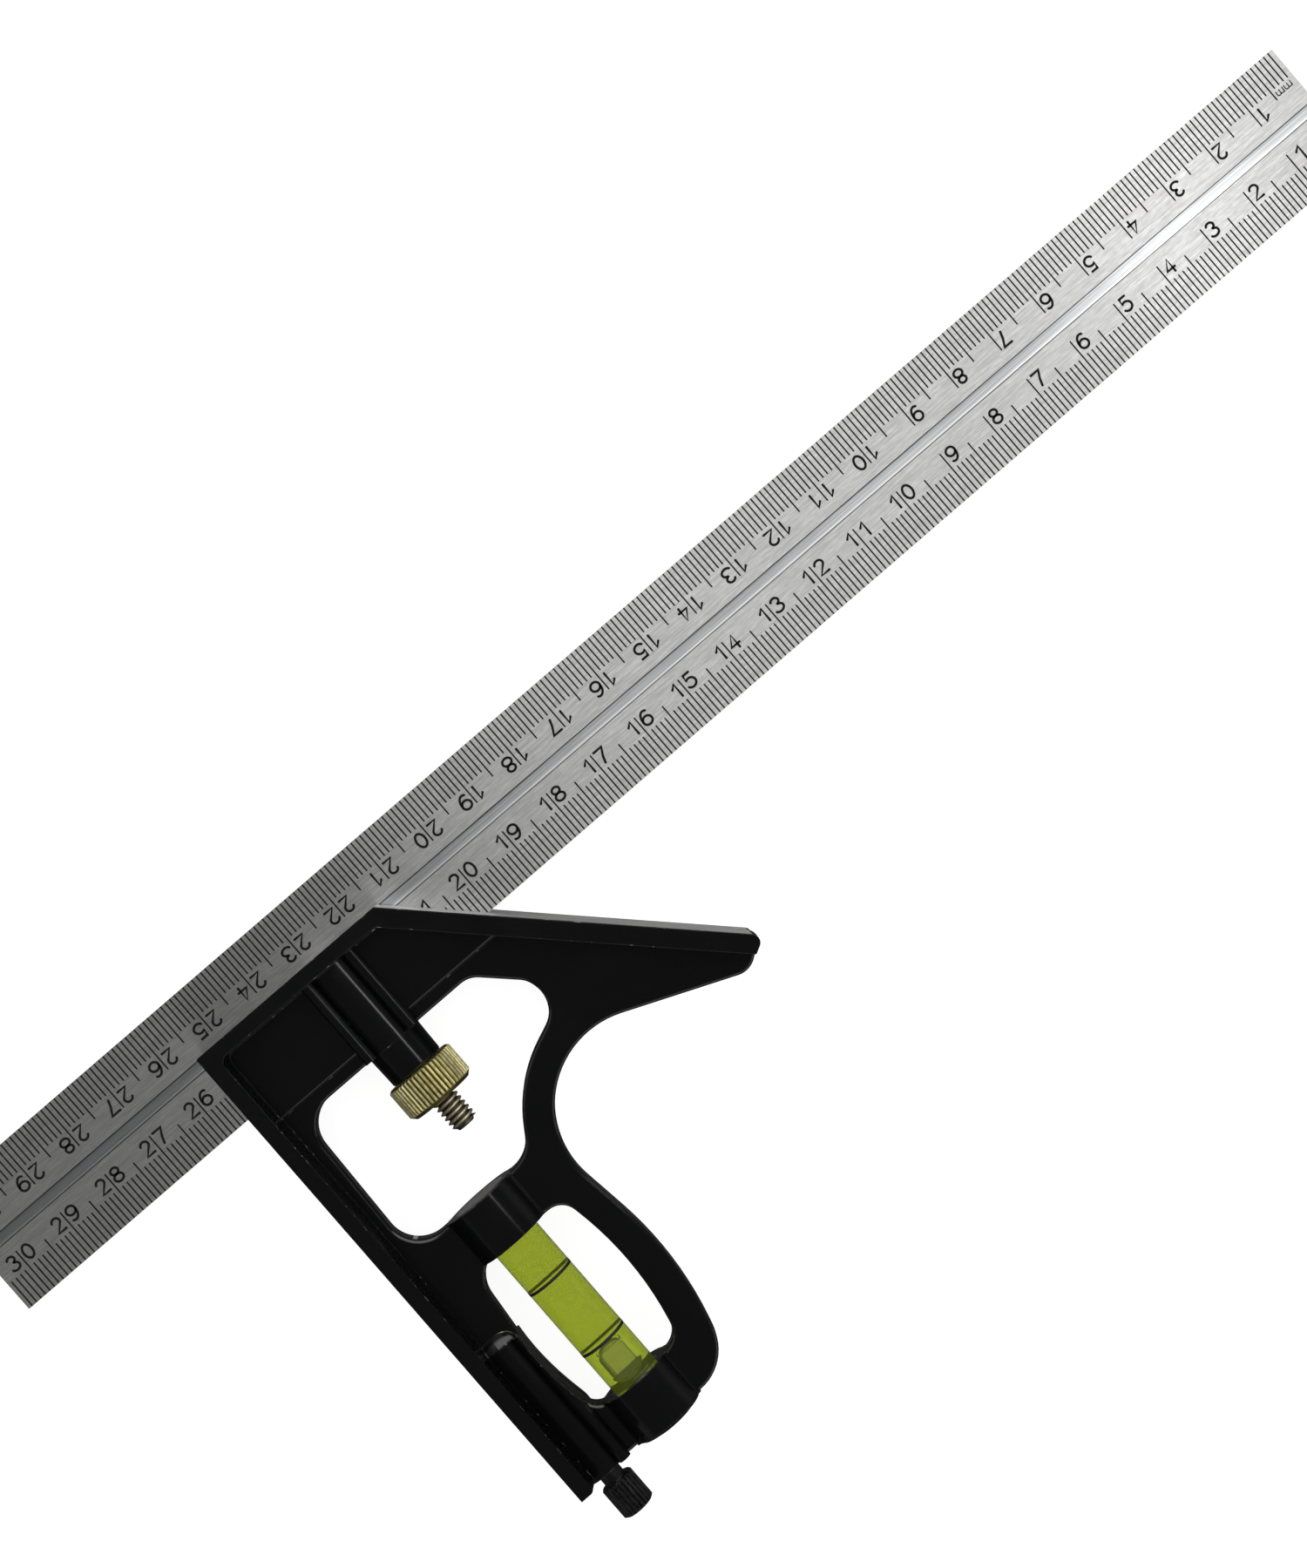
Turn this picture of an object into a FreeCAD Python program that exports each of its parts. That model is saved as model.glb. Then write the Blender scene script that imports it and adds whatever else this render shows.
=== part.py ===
import FreeCAD, Part
import math
import os

from FreeCAD import Vector

# Combination square, lying flat on its head. Millimetres.
# +X runs along the blade towards the zero end of its scale, +Y towards the blade's free edge, +Z up.
# Every piece is drawn in head coordinates: the origin is the corner where the right-angle face meets
# the head's top edge, on the mid-plane of the head's thickness. to_part_frame() then moves it so that
# the origin is at the middle of the whole object's outline, on the surface that it lies on.

# ---- driving dimensions ----
BLADE_LENGTH = 304.8
BLADE_WIDTH = 24.6
BLADE_THICKNESS = 2.0
BLADE_ABOVE_HEAD = 11.0        # the blade's free edge stands this far above the head's top edge
BLADE_PAST_RIGHT_ANGLE = 50.9  # the blade's length beyond the right-angle face, as stored
GROOVE_WIDTH = 2.2
GROOVE_DEPTH = 0.7
GROOVE_FROM_FREE_EDGE = 11.2
BLADE_SIDE_GAP = 0.1           # play each side of the blade in its slot
BLADE_SEAT_GAP = 0.05

HEAD_THICKNESS = 19.0
HEAD_HEIGHT = 99.9             # along the right-angle face
TOP_EDGE_LENGTH = 39.4         # from the right-angle face to the start of the 45 degree face
MITRE_TIP_DROP = 46.9          # how far the 45 degree face comes down
RIGHT_ANGLE_LAND = 2.9
TOP_LAND = 2.7
MITRE_LAND = 3.4
MITRE_END_TURN_IN = 0.6        # the 45 degree rail's end stands this far inside the web's corner
RAIL_DRAFT = 0.3               # the rails widen this much from their lands down to the web's faces
WEB_THICKNESS = 4.8
WEB_EDGE_ROUND = 0.7
HOUSING_THICKNESS = 6.8        # the panel round the blade slot
HOUSING_DEPTH = 17.3
WINDOW_ROOF = -19.75

BOLT_X = 26.2
BOLT_BORE_RADIUS = 3.58
BOLT_HEAD_RADIUS = 3.5
CLAMP_BOSS_RADIUS = 5.35
CLAMP_BOSS_END_RADIUS = 5.15
CLAMP_BOSS_END = -25.9
SPRING_SEAT = -23.0
THREAD_RADIUS = 2.45
THREAD_ROOT_RADIUS = 1.85
THREAD_PITCH = 1.0
HELIX_STEPS_PER_TURN = 16
BOLT_SHOULDER = -17.5
BOLT_END = -38.9
THREAD_RUN_IN = 0.5            # the thread starts this far above the spring's seat
DOG_POINT_LENGTH = 0.5         # plain end of the bolt below the thread
STUD_GAP = 0.08                # round the thread in the boss
NUT_GAP = 0.06                 # round the thread in the nut
NIB_WIDTH = 1.4
NUT_RADIUS = 6.7
NUT_LENGTH = 6.6
NUT_FLUTES = 48

VIAL_X = 19.6
LUG_RADIUS = 7.0
UPPER_LUG = (-49.75, -59.1)
LOWER_LUG = (-90.75, -100.1)
VIAL_BORE_RADIUS = 5.2
TUBE_RADIUS = 4.6
TUBE_BORE_RADIUS = 3.45
STOPPER_LENGTH = 2.5
PLUG_THICKNESS = 1.2
PLUG_GAP = 0.25                # between the plug and the tube's end
TUBE_SHORT_OF_LUG = 1.7        # the tube's outer end lies this far inside its lug
BUBBLE_RADIUS = 2.65
BUBBLE_LENGTH = 8.1
BUBBLE_CENTRE = -86.6
BUBBLE_FILM = 0.08             # spirit left between the bubble and the tube's wall

SCRIBER_X = 5.4
SCRIBER_BOSS_RADIUS = 4.3
SCRIBER_BOSS_TOP = -69.3
NEEDLE_RADIUS = 1.1
NEEDLE_TIP = -72.0
NEEDLE_POINT_LENGTH = 5.0
NEEDLE_GRIP_GAP = 0.05         # round the needle in its bush
NEEDLE_BORE_GAP = 0.3          # round the needle in the casting
BUSH_RADIUS = 2.2
BUSH_LENGTH = 14.0
KNOB_RADIUS = 3.2
KNOB_LENGTH = 6.5
KNOB_NECK_RADIUS = 2.07
KNOB_NECK_LENGTH = 2.3
KNOB_FLUTES = 24
NEEDLE_DEPTH_IN_KNOB = 0.6     # as a share of the knob's length

HAIR = 0.02                    # gap between round pieces that are fixed in each other
SEAT_GAP = 0.1                 # gap between a turning or sliding piece and what it bears on

# ---- derived ----
HALF = HEAD_THICKNESS / 2
THREAD_TOP = SPRING_SEAT + THREAD_RUN_IN
THREAD_END = BOLT_END + DOG_POINT_LENGTH
WEB_HALF = WEB_THICKNESS / 2
HOUSING_HALF = HOUSING_THICKNESS / 2
BLADE_HALF = BLADE_THICKNESS / 2
SLOT_HALF = BLADE_HALF + BLADE_SIDE_GAP
BLADE_LOWER_EDGE = BLADE_ABOVE_HEAD - BLADE_WIDTH
SLOT_SEAT = BLADE_LOWER_EDGE - BLADE_SEAT_GAP
GROOVE_TOP = BLADE_ABOVE_HEAD - GROOVE_FROM_FREE_EDGE
GROOVE_BOTTOM = GROOVE_TOP - GROOVE_WIDTH
MITRE_TIP = (TOP_EDGE_LENGTH + MITRE_TIP_DROP, -MITRE_TIP_DROP)
NUT_TOP = CLAMP_BOSS_END - SEAT_GAP
TUBE_TOP = UPPER_LUG[0] - PLUG_THICKNESS - PLUG_GAP
TUBE_END = LOWER_LUG[1] + TUBE_SHORT_OF_LUG
KNOB_NECK_TOP = -HEAD_HEIGHT - SEAT_GAP
KNOB_TOP = KNOB_NECK_TOP - KNOB_NECK_LENGTH
KNOB_END = KNOB_TOP - KNOB_LENGTH
OVERALL_DEPTH = BLADE_ABOVE_HEAD - KNOB_END
HEAD_CORNER_X = BLADE_PAST_RIGHT_ANGLE - BLADE_LENGTH / 2
HEAD_CORNER_Y = OVERALL_DEPTH / 2 - BLADE_ABOVE_HEAD

DOWN = Vector(0, -1, 0)
UP = Vector(0, 1, 0)


# ---- helpers ----
def unit(ax, ay, bx, by):
    length = math.hypot(bx - ax, by - ay)
    return (bx - ax) / length, (by - ay) / length


def rounded_outline(corners, z=0.0):
    """Closed wire through (x, y, radius) corners, where each corner with a radius is a tangent arc."""
    ends = []
    count = len(corners)
    for i in range(count):
        px, py = corners[i - 1][:2]
        x, y, radius = corners[i]
        nx, ny = corners[(i + 1) % count][:2]
        back = unit(x, y, px, py)
        ahead = unit(x, y, nx, ny)
        if radius == 0:
            ends.append((Vector(x, y, z), None, Vector(x, y, z)))
            continue
        opening = math.acos(max(-1.0, min(1.0, back[0] * ahead[0] + back[1] * ahead[1]))) / 2
        reach = radius / math.tan(opening)
        middle = unit(0, 0, back[0] + ahead[0], back[1] + ahead[1])
        bulge = radius / math.sin(opening) - radius
        ends.append((
            Vector(x + back[0] * reach, y + back[1] * reach, z),
            Vector(x + middle[0] * bulge, y + middle[1] * bulge, z),
            Vector(x + ahead[0] * reach, y + ahead[1] * reach, z),
        ))
    edges = []
    for i in range(count):
        first, middle, last = ends[i]
        if middle is not None:
            edges.append(Part.Arc(first, middle, last).toShape())
        following = ends[(i + 1) % count][0]
        if last.distanceToPoint(following) > 1e-6:
            edges.append(Part.LineSegment(last, following).toShape())
    return Part.Wire(edges)


def plate(corners, half):
    """Prism of an outline, as thick above the mid-plane as below it."""
    face = Part.Face(rounded_outline(corners, -half))
    return face.extrude(Vector(0, 0, 2 * half))


def block(x0, x1, y0, y1, z0, z1):
    return Part.makeBox(x1 - x0, y1 - y0, z1 - z0, Vector(x0, y0, z0))


def rod(x, y_from, y_to, radius, z=0.0):
    """Cylinder along Y between two heights."""
    low = min(y_from, y_to)
    return Part.makeCylinder(radius, abs(y_to - y_from), Vector(x, low, z), UP)


def taper(x, y_from, radius_from, y_to, radius_to, z=0.0):
    """Cone frustum along Y, going down from y_from to y_to."""
    return Part.makeCone(radius_from, radius_to, y_from - y_to, Vector(x, y_from, z), DOWN)


def turned(x, profile, z=0.0):
    """Solid of revolution about a Y axis at x, from (radius, y) points."""
    points = [Vector(x + radius, y, z) for radius, y in profile]
    wire = Part.makePolygon(points + points[:1])
    return Part.Face(wire).revolve(Vector(x, 0, z), UP, 360)


def round_edges(solid, wanted, radius):
    edges = [edge for edge in solid.Edges if wanted(edge)]
    return solid.makeFillet(radius, edges)


def mirrored(upper):
    """An upper half joined to its mirror image below the mid-plane."""
    return upper.fuse(upper.mirror(Vector(0, 0, 0), Vector(0, 0, 1)))


def ring_of_cutters(cutter, x, count):
    """Copies of a cutter spaced evenly round the Y axis at x."""
    copies = []
    for i in range(count):
        copy = cutter.copy()
        copy.rotate(Vector(x, 0, 0), UP, 360.0 * i / count)
        copies.append(copy)
    return Part.makeCompound(copies)


def helix_solid(x, y_start, radius, pitch, turns, profile):
    """Solid swept along a helix about the Y axis at x, running down from y_start.

    profile is a closed wire in the XY plane of head coordinates, placed at the helix's start.
    """
    helix = Part.makeLongHelix(pitch, pitch * turns, radius)
    helix.rotate(Vector(0, 0, 0), Vector(1, 0, 0), 90)
    helix.translate(Vector(x, y_start, 0))
    return Part.Wire(helix.Edges).makePipeShell([profile], True, True)


def helix_edge(x, y_start, radius, pitch, turns):
    """Right-hand helix about the Y axis at x, running down from y_start."""
    steps = int(turns * HELIX_STEPS_PER_TURN)
    points = []
    for i in range(steps + 1):
        turned_by = 2 * math.pi * turns * i / steps
        points.append(Vector(
            x + radius * math.cos(turned_by),
            y_start - pitch * turns * i / steps,
            radius * math.sin(turned_by),
        ))
    curve = Part.BSplineCurve()
    curve.interpolate(points)
    return curve.toShape()


def helical_cutter(x, corners, pitch, turns):
    """Solid whose section, the (radius, y) corners, follows a helix about the Y axis at x."""
    edges = [helix_edge(x, y, radius, pitch, turns) for radius, y in corners]
    faces = [Part.makeRuledSurface(a, b) for a, b in zip(edges, edges[1:] + edges[:1])]
    for end in (0, -1):
        points = [edge.Vertexes[end].Point for edge in edges]
        faces.append(Part.Face(Part.makePolygon(points + points[:1])))
    shell = Part.makeShell(faces)
    shell.sewShape()
    return Part.makeSolid(shell)


# ---- head casting ----
def head_outline():
    """The casting's (x, y, corner radius), going round from the foot of the right-angle face."""
    return [
        (0, -HEAD_HEIGHT, 0),
        (0, 0, 0.3),
        (TOP_EDGE_LENGTH, 0, 0),
        (MITRE_TIP[0], MITRE_TIP[1], 1.5),
        (80.55, -50.87, 4.0),
        (32.1, -30.3, 16.5),
        (39.1, -79.7, 62.8),
        (33.75, -HEAD_HEIGHT, 8.9),
    ]


def upper_window():
    """Opening between the slot housing and the vial's inner lug, as (x, y, corner radius)."""
    floor = UPPER_LUG[0]
    return [
        (5.7, WINDOW_ROOF, 6.1),
        (4.8, floor, 6.2),
        (30.7, floor, 6.3),
        (37.7, -38.9, 24.6),
        (52.0, -33.1, 5.6),
        (50.4, -26.8, 4.3),
        (43.2, WINDOW_ROOF, 4.4),
    ]


def vial_window():
    """Opening round the vial between its two lugs, as (x, y, corner radius)."""
    floor = LOWER_LUG[0]
    return [
        (10.8, UPPER_LUG[1] + 1.0, 6.2),
        (8.7, -80.2, 48),
        (11.3, floor, 3.1),
        (29.7, floor, 4.1),
        (33.3, -74.8, 59),
        (30.2, UPPER_LUG[1] - 0.3, 3.5),
    ]


def rail_outline(grow):
    """The three rails as one outline, their inner edges moved inwards by grow."""
    right_angle_inner = RIGHT_ANGLE_LAND + grow
    right_angle_end = 0.4 - HEAD_HEIGHT - grow
    top_inner = -(TOP_LAND + grow)
    inner_sum = TOP_EDGE_LENGTH - math.sqrt(2) * (MITRE_LAND + grow)  # x + y along the mitre's inner edge
    tip_x, tip_y = MITRE_TIP
    web_x, web_y = head_outline()[4][:2]
    under = unit(tip_x, tip_y, web_x - MITRE_END_TURN_IN, web_y + MITRE_END_TURN_IN)
    along = (MITRE_LAND + grow) / (-(under[0] + under[1]) * math.sqrt(0.5))
    return [
        (0, right_angle_end, 0),
        (0, 0, 0.3),
        (TOP_EDGE_LENGTH, 0, 0),
        (tip_x, tip_y, 1.5),
        (tip_x + under[0] * along, tip_y + under[1] * along, 0),
        (inner_sum - top_inner, top_inner, 1.0),
        (right_angle_inner, top_inner, 1.5),
        (right_angle_inner, right_angle_end, 0.8),
    ]


def rails():
    land = rounded_outline(rail_outline(0.0), HALF)
    root = rounded_outline(rail_outline(RAIL_DRAFT * HALF / (HALF - WEB_HALF)), 0.0)
    return mirrored(Part.makeLoft([root, land], True, True))


def web():
    solid = plate(head_outline(), WEB_HALF)
    solid = solid.cut(plate(upper_window(), WEB_HALF + 1))
    solid = solid.cut(plate(vial_window(), WEB_HALF + 1))

    def is_rim(edge):
        return all(abs(abs(vertex.Z) - WEB_HALF) < 1e-6 for vertex in edge.Vertexes)

    return round_edges(solid, is_rim, WEB_EDGE_ROUND)


def slot_housing():
    margin = 1.0
    reach = TOP_EDGE_LENGTH + HOUSING_DEPTH - 2 * margin
    corners = [
        (margin, -margin, 0),
        (TOP_EDGE_LENGTH - margin, -margin, 0),
        (reach, -HOUSING_DEPTH, 0),
        (margin, -HOUSING_DEPTH, 0),
    ]
    solid = plate(corners, HOUSING_HALF)

    def is_lower_rim(edge):
        return all(
            abs(vertex.Y + HOUSING_DEPTH) < 1e-6 and abs(abs(vertex.Z) - HOUSING_HALF) < 1e-6
            for vertex in edge.Vertexes
        )

    return round_edges(solid, is_lower_rim, 0.6)


def blended_boss(x, y_from, y_to, radius, panel_half, blend):
    """Round boss along Y that runs into the panels beside it with concave fillets."""
    centre_height = panel_half + blend
    slope = math.asin(centre_height / (radius + blend))
    foot = (radius + blend) * math.cos(slope)
    touch = (radius * math.cos(slope), radius * math.sin(slope))
    mid_angle = (slope + math.pi / 2) / 2
    hollow = (foot - blend * math.sin(mid_angle), centre_height - blend * math.cos(mid_angle))

    def at(px, pz):
        return Vector(x + px, y_from, pz)

    def arc(first, middle, last):
        return Part.Arc(at(*first), at(*middle), at(*last)).toShape()

    edges = [
        arc((touch[0], touch[1]), (0, radius), (-touch[0], touch[1])),
        arc((-touch[0], touch[1]), (-hollow[0], hollow[1]), (-foot, panel_half)),
        Part.LineSegment(at(-foot, panel_half), at(-foot, -panel_half)).toShape(),
        arc((-foot, -panel_half), (-hollow[0], -hollow[1]), (-touch[0], -touch[1])),
        arc((-touch[0], -touch[1]), (0, -radius), (touch[0], -touch[1])),
        arc((touch[0], -touch[1]), (hollow[0], -hollow[1]), (foot, -panel_half)),
        Part.LineSegment(at(foot, -panel_half), at(foot, panel_half)).toShape(),
        arc((foot, panel_half), (hollow[0], hollow[1]), (touch[0], touch[1])),
    ]
    return Part.Face(Part.Wire(edges)).extrude(Vector(0, y_to - y_from, 0))


def clamp_boss():
    within = blended_boss(BOLT_X, -1.5, WINDOW_ROOF, CLAMP_BOSS_RADIUS, HOUSING_HALF, 1.2)
    free = taper(BOLT_X, WINDOW_ROOF + 1.0, CLAMP_BOSS_RADIUS, CLAMP_BOSS_END, CLAMP_BOSS_END_RADIUS)

    def is_end(edge):
        return all(abs(vertex.Y - CLAMP_BOSS_END) < 1e-6 for vertex in edge.Vertexes)

    return within.fuse(round_edges(free, is_end, 0.5))


def lug(span):
    return blended_boss(VIAL_X, span[0], span[1], LUG_RADIUS, WEB_HALF, 0.8)


def scriber_boss():
    barrel = rod(SCRIBER_X, SCRIBER_BOSS_TOP, -HEAD_HEIGHT, SCRIBER_BOSS_RADIUS)

    def is_top(edge):
        return all(abs(vertex.Y - SCRIBER_BOSS_TOP) < 1e-6 for vertex in edge.Vertexes)

    flanks = blended_boss(
        SCRIBER_X, SCRIBER_BOSS_TOP - 2.4, -HEAD_HEIGHT, SCRIBER_BOSS_RADIUS, WEB_HALF, 1.2
    )
    boss = round_edges(barrel, is_top, 2.4).fuse(flanks)
    return boss.cut(plate(vial_window(), HALF))


def head_casting():
    solid = web()
    for piece in (
        rails(), slot_housing(), clamp_boss(), lug(UPPER_LUG), lug(LOWER_LUG), scriber_boss()
    ):
        solid = solid.fuse(piece)
    solid = solid.common(plate([
        (0, -HEAD_HEIGHT - 1, 0),
        (0, 0, 0),
        (TOP_EDGE_LENGTH, 0, 0),
        (MITRE_TIP[0] + 2, MITRE_TIP[1] - 2, 0),
        (MITRE_TIP[0] + 2, -HEAD_HEIGHT - 1, 0),
    ], HALF))
    slot = block(-1, MITRE_TIP[0], SLOT_SEAT, 1, -SLOT_HALF, SLOT_HALF)
    bores = [
        slot,
        rod(BOLT_X, 1, SPRING_SEAT, BOLT_BORE_RADIUS),
        rod(BOLT_X, SPRING_SEAT, CLAMP_BOSS_END - 1, THREAD_RADIUS + STUD_GAP),
        rod(VIAL_X, UPPER_LUG[0] + 0.5, UPPER_LUG[1] - 0.5, VIAL_BORE_RADIUS),
        rod(VIAL_X, LOWER_LUG[0] + 0.5, LOWER_LUG[1] - 0.5, VIAL_BORE_RADIUS),
        rod(SCRIBER_X, NEEDLE_TIP + 0.6, -HEAD_HEIGHT - 1, NEEDLE_RADIUS + NEEDLE_BORE_GAP),
        rod(SCRIBER_X, -HEAD_HEIGHT + BUSH_LENGTH, -HEAD_HEIGHT - 1, BUSH_RADIUS + HAIR),
    ]
    for bore in bores:
        solid = solid.cut(bore)
    return solid.removeSplitter()


# ---- blade ----
def blade():
    left = -BLADE_PAST_RIGHT_ANGLE
    right = left + BLADE_LENGTH
    strip = block(left, right, BLADE_LOWER_EDGE, BLADE_ABOVE_HEAD, -BLADE_HALF, BLADE_HALF)
    groove = block(
        left - 1, right + 1, GROOVE_BOTTOM, GROOVE_TOP, BLADE_HALF - GROOVE_DEPTH, BLADE_HALF + 1
    )
    return strip.cut(groove)


# ---- clamp ----
def clamp_bolt():
    top = GROOVE_TOP - 0.3
    blade_face = BLADE_HALF + 0.05
    head = rod(BOLT_X, top, BOLT_SHOULDER, BOLT_HEAD_RADIUS)
    blade_way = block(
        BOLT_X - 5, BOLT_X + 5, BLADE_LOWER_EDGE - 0.9, top + 1, -BOLT_HEAD_RADIUS - 1, blade_face
    )
    nib_low = GROOVE_BOTTOM + 0.05
    nib = block(
        BOLT_X - 2.6, BOLT_X + 2.6, nib_low, nib_low + NIB_WIDTH,
        BLADE_HALF - GROOVE_DEPTH + 0.1, blade_face + 0.5
    )
    shank = rod(BOLT_X, BOLT_SHOULDER + 1, THREAD_TOP, THREAD_RADIUS - 0.1)
    dog_point = turned(BOLT_X, [
        (0, THREAD_END + 0.3),
        (THREAD_ROOT_RADIUS - 0.1, THREAD_END + 0.3),
        (THREAD_ROOT_RADIUS - 0.1, BOLT_END + 0.2),
        (THREAD_ROOT_RADIUS - 0.3, BOLT_END),
        (0, BOLT_END),
    ])
    return threaded_rod().fuse(dog_point).fuse(shank).fuse(head.cut(blade_way).fuse(nib))


def threaded_rod():
    return rod(BOLT_X, THREAD_TOP, THREAD_END, THREAD_RADIUS).cut(thread_groove())


def thread_groove():
    """The V cut all along the thread, which runs off its end."""
    first = THREAD_TOP - THREAD_PITCH / 2
    turns = (first - THREAD_END) / THREAD_PITCH + 1
    proud_radius = THREAD_RADIUS + 0.15
    half_mouth, half_floor = 0.48 * THREAD_PITCH, 0.05 * THREAD_PITCH
    corners = [
        (THREAD_ROOT_RADIUS, first + half_floor),
        (proud_radius, first + half_mouth),
        (proud_radius, first - half_mouth),
        (THREAD_ROOT_RADIUS, first - half_floor),
    ]
    return helical_cutter(BOLT_X, corners, THREAD_PITCH, turns)


def clamp_spring():
    wire_radius = 0.3
    coil_radius = BOLT_BORE_RADIUS - wire_radius - 0.25
    top = BOLT_SHOULDER - wire_radius - 0.05
    bottom = SPRING_SEAT + wire_radius + 0.05
    turns = 4
    pitch = (top - bottom) / turns
    circle = Part.Wire(Part.makeCircle(wire_radius, Vector(BOLT_X + coil_radius, top, 0), Vector(0, 0, 1)))
    return helix_solid(BOLT_X, top, coil_radius, pitch, turns, circle)


def clamp_nut():
    end = NUT_TOP - NUT_LENGTH
    bore = THREAD_RADIUS + NUT_GAP
    disc = turned(BOLT_X, [
        (bore + 0.4, NUT_TOP),
        (NUT_RADIUS - 0.5, NUT_TOP),
        (NUT_RADIUS, NUT_TOP - 0.4),
        (NUT_RADIUS, end + 0.9),
        (NUT_RADIUS - 0.9, end),
        (bore + 0.4, end),
        (bore, end + 0.4),
        (bore, NUT_TOP - 0.4),
    ])
    return disc.cut(flutes(BOLT_X, NUT_TOP + 1, end - 1, NUT_RADIUS, 0.42, 0.34, NUT_FLUTES))


def flutes(x, y_from, y_to, radius, depth, half_width, count):
    """V-shaped cutters along Y, spaced round the rim of a knurled piece."""
    proud = 0.3
    spread = half_width * (depth + proud) / depth
    vee = Part.makePolygon([
        Vector(x + radius - depth, y_from, 0),
        Vector(x + radius + proud, y_from, spread),
        Vector(x + radius + proud, y_from, -spread),
        Vector(x + radius - depth, y_from, 0),
    ])
    return ring_of_cutters(Part.Face(vee).extrude(Vector(0, y_to - y_from, 0)), x, count)


# ---- level vial ----
def vial_tube():
    outer = rod(VIAL_X, TUBE_TOP, TUBE_END, TUBE_RADIUS)
    return outer.cut(rod(VIAL_X, TUBE_TOP + 1, TUBE_END - 1, TUBE_BORE_RADIUS))


def vial_stopper(y_from, y_to):
    return rod(VIAL_X, y_from, y_to, TUBE_BORE_RADIUS - HAIR)


def bubble_shape(grow):
    """Bubble lying under the top of the tube's bore, made larger all round by grow."""
    radius = BUBBLE_RADIUS + grow
    height = TUBE_BORE_RADIUS - BUBBLE_RADIUS - BUBBLE_FILM
    half_run = BUBBLE_LENGTH / 2 - BUBBLE_RADIUS
    barrel = rod(VIAL_X, BUBBLE_CENTRE + half_run, BUBBLE_CENTRE - half_run, radius, height)
    for end in (half_run, -half_run):
        barrel = barrel.fuse(Part.makeSphere(radius, Vector(VIAL_X, BUBBLE_CENTRE + end, height)))
    return barrel.removeSplitter()


def vial_spirit():
    fill = rod(
        VIAL_X, TUBE_TOP - STOPPER_LENGTH - HAIR, TUBE_END + STOPPER_LENGTH + HAIR,
        TUBE_BORE_RADIUS - HAIR
    )
    return fill.cut(bubble_shape(HAIR))


def setting_collar(y_from, y_to):
    outer = rod(VIAL_X, y_from, y_to, VIAL_BORE_RADIUS - HAIR)
    return outer.cut(rod(VIAL_X, y_from + 1, y_to - 1, TUBE_RADIUS + HAIR))


def vial_bore_plug():
    return rod(VIAL_X, UPPER_LUG[0], UPPER_LUG[0] - PLUG_THICKNESS, VIAL_BORE_RADIUS - HAIR)


def vial_bore_cap():
    """Cap with a stem in the bore and a shallow dome that covers the lug's end."""
    face = LOWER_LUG[1] - HAIR
    rim = LUG_RADIUS - 0.6
    return turned(VIAL_X, [
        (0, face + 1.5),
        (VIAL_BORE_RADIUS - HAIR, face + 1.5),
        (VIAL_BORE_RADIUS - HAIR, face),
        (rim, face),
        (rim, face - 0.4),
        (0.75 * rim, face - 0.85),
        (0.4 * rim, face - 1.15),
        (0, face - 1.25),
    ])


# ---- scriber ----
def scriber_needle():
    butt = KNOB_TOP - KNOB_LENGTH * NEEDLE_DEPTH_IN_KNOB
    shank_top = NEEDLE_TIP - NEEDLE_POINT_LENGTH
    return turned(SCRIBER_X, [
        (0, NEEDLE_TIP),
        (NEEDLE_RADIUS, shank_top),
        (NEEDLE_RADIUS, butt),
        (0, butt),
    ])


def scriber_bush():
    top = -HEAD_HEIGHT + BUSH_LENGTH - HAIR
    outer = rod(SCRIBER_X, top, -HEAD_HEIGHT, BUSH_RADIUS)
    return outer.cut(rod(SCRIBER_X, top + 1, -HEAD_HEIGHT - 1, NEEDLE_RADIUS + NEEDLE_GRIP_GAP))


def scriber_knob():
    solid = turned(SCRIBER_X, [
        (0, KNOB_NECK_TOP),
        (KNOB_NECK_RADIUS, KNOB_NECK_TOP),
        (KNOB_NECK_RADIUS, KNOB_TOP),
        (KNOB_RADIUS - 0.3, KNOB_TOP),
        (KNOB_RADIUS, KNOB_TOP - 0.3),
        (KNOB_RADIUS, KNOB_END + 0.5),
        (KNOB_RADIUS - 0.5, KNOB_END + 0.12),
        (KNOB_RADIUS - 1.6, KNOB_END),
        (0, KNOB_END),
    ])
    solid = solid.cut(flutes(
        SCRIBER_X, KNOB_TOP + 1, KNOB_END - 1, KNOB_RADIUS, 0.28, 0.2, KNOB_FLUTES
    ))
    socket = rod(SCRIBER_X, KNOB_NECK_TOP + 1, KNOB_TOP - KNOB_LENGTH * NEEDLE_DEPTH_IN_KNOB, NEEDLE_RADIUS)
    return solid.cut(socket)


# ---- placing and writing ----
def to_part_frame(shape):
    moved = shape.copy()
    moved.translate(Vector(HEAD_CORNER_X, HEAD_CORNER_Y, HALF))
    return moved


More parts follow.
